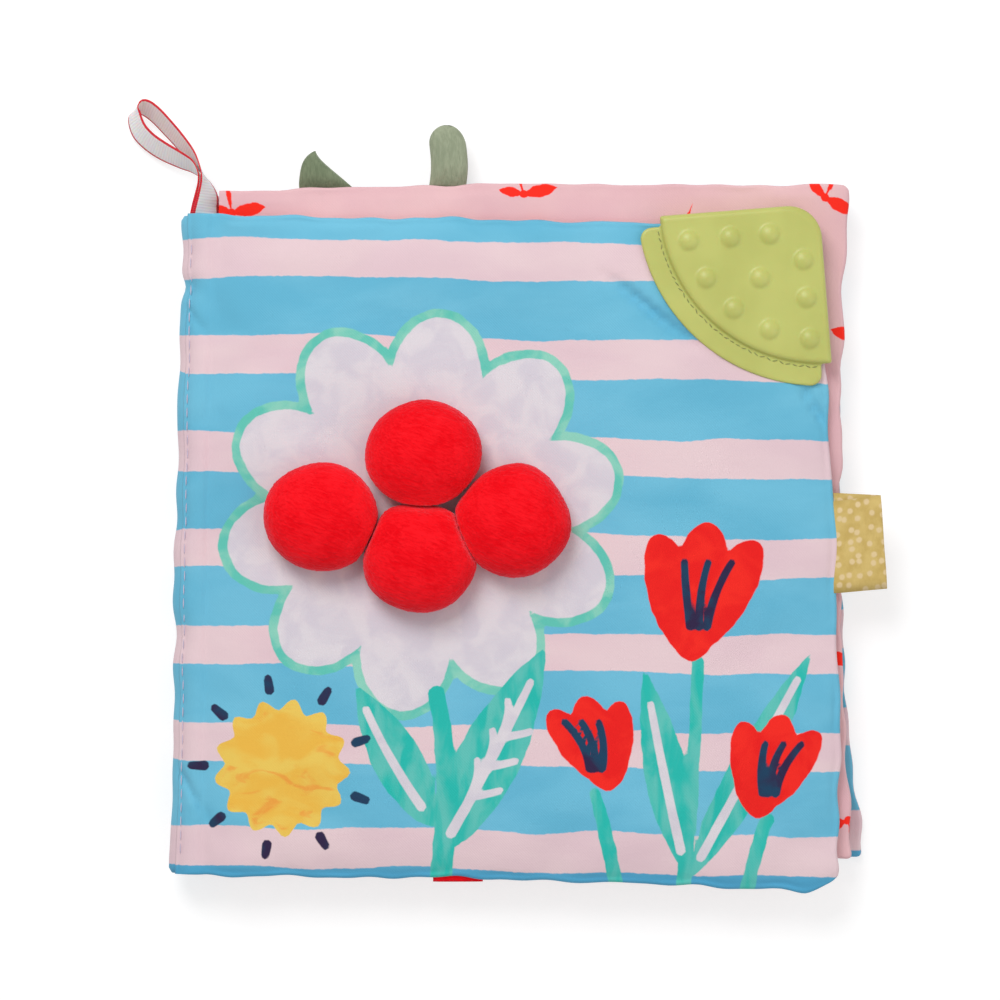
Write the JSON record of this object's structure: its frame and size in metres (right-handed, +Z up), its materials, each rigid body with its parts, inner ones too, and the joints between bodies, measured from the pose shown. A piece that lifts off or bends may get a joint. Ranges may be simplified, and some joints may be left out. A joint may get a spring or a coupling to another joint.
{
  "type": "crinkle cloth book",
  "caption": "Soft crinkle cloth book lying closed: padded fabric leaves on a sewn spine, with plush balls, a corner teether, plush tabs, a ribbon tag and a hanging loop.",
  "frame": {"origin": "middle of the face that the closed book rests on, under the back cover", "axes": "+Z up out of the front cover, +X from the spine to the fore edge, +Y to the top of the page"},
  "size_m": [0.2297, 0.2338, 0.0382],
  "materials": {
    "cover_cloth": "plain woven cotton with blue and pink printed stripes, matt",
    "page_cloth": "plain woven cotton, printed, matt",
    "crinkle_film": "thin crinkled film",
    "batting": "bonded polyester wadding",
    "stuffing": "loose polyester fibre",
    "plush_red": "short pile plush",
    "plush_sage": "short pile velour",
    "plush_olive": "short pile velour",
    "teether_silicone": "soft matt silicone",
    "tag_ribbon": "printed satin ribbon with dots",
    "hanging_ribbon": "grosgrain ribbon with coloured edges"
  },
  "bodies": {
    "book": {"spine_wrap": "cover_cloth", "spine_seam_roll": "page_cloth", "back_cover_lower_panel": "cover_cloth", "back_cover_crinkle_film": "crinkle_film", "back_cover_batting": "batting", "back_cover_upper_panel": "page_cloth", "hanging_ribbon_lower_end": "hanging_ribbon", "hanging_ribbon_upper_end": "hanging_ribbon"},
    "rear_page": {"rear_page_lower_panel": "page_cloth", "rear_page_crinkle_film": "crinkle_film", "rear_page_batting": "batting", "rear_page_upper_panel": "page_cloth"},
    "front_page": {"front_page_lower_panel": "page_cloth", "front_page_crinkle_film": "crinkle_film", "front_page_batting": "batting", "front_page_upper_panel": "page_cloth"},
    "front_cover": {"front_cover_lower_panel": "page_cloth", "front_cover_crinkle_film": "crinkle_film", "front_cover_batting": "batting", "front_cover_upper_panel": "cover_cloth", "corner_teether": "teether_silicone", "plush_ball_top": "plush_red", "plush_ball_left": "plush_red", "plush_ball_bottom": "plush_red", "plush_ball_right": "plush_red", "plush_ball_top_stuffing": "stuffing", "plush_ball_left_stuffing": "stuffing", "plush_ball_bottom_stuffing": "stuffing", "plush_ball_right_stuffing": "stuffing"},
    "leaf_tab": {"plush_leaf_tab": "plush_olive", "plush_leaf_tab_stuffing": "stuffing"},
    "finger_tab": {"plush_finger_tab": "plush_sage", "plush_finger_tab_stuffing": "stuffing"},
    "tag": {"ribbon_tag": "tag_ribbon"},
    "ribbon_loop": {"hanging_ribbon_loop": "hanging_ribbon"}
  },
  "joints": [
    {"name": "front_cover_hinge", "type": "hinge", "parent": "book", "child": "front_cover", "pos_m": [-0.0938, 0, 0.01045], "axis": [0, -1, 0], "range_deg": [0, 153]},
    {"name": "front_page_hinge", "type": "hinge", "parent": "book", "child": "front_page", "pos_m": [-0.0938, 0, 0.01045], "axis": [0, -1, 0], "range_deg": [0, 102]},
    {"name": "rear_page_hinge", "type": "hinge", "parent": "book", "child": "rear_page", "pos_m": [-0.0938, 0, 0.01045], "axis": [0, -1, 0], "range_deg": [0, 51]},
    {"name": "ribbon_loop_hinge", "type": "hinge", "parent": "book", "child": "ribbon_loop", "pos_m": [-0.0938, 0.1095, 0.0114], "axis": [1, 0, 0], "range_deg": [0, 80]},
    {"name": "tag_hinge", "type": "hinge", "parent": "front_cover", "child": "tag", "pos_m": [0.0995, 0.003, 0.01925], "axis": [0.0567, -0.9984, 0], "range_deg": [0, 135]},
    {"name": "leaf_tab_flex", "type": "hinge", "parent": "rear_page", "child": "leaf_tab", "pos_m": [-0.056, 0.10761, 0.0078], "axis": [1, 0, 0], "range_deg": [-15, 15], "stiffness_Nm_per_rad": 0.002},
    {"name": "finger_tab_flex", "type": "hinge", "parent": "rear_page", "child": "finger_tab", "pos_m": [-0.0196, 0.10875, 0.0078], "axis": [1, 0, 0], "range_deg": [-15, 15], "stiffness_Nm_per_rad": 0.003}
  ],
  "couplings": [
    {"joint": "front_page_hinge", "follows": "front_cover_hinge", "ratio": 0.66667},
    {"joint": "rear_page_hinge", "follows": "front_cover_hinge", "ratio": 0.33333}
  ]
}
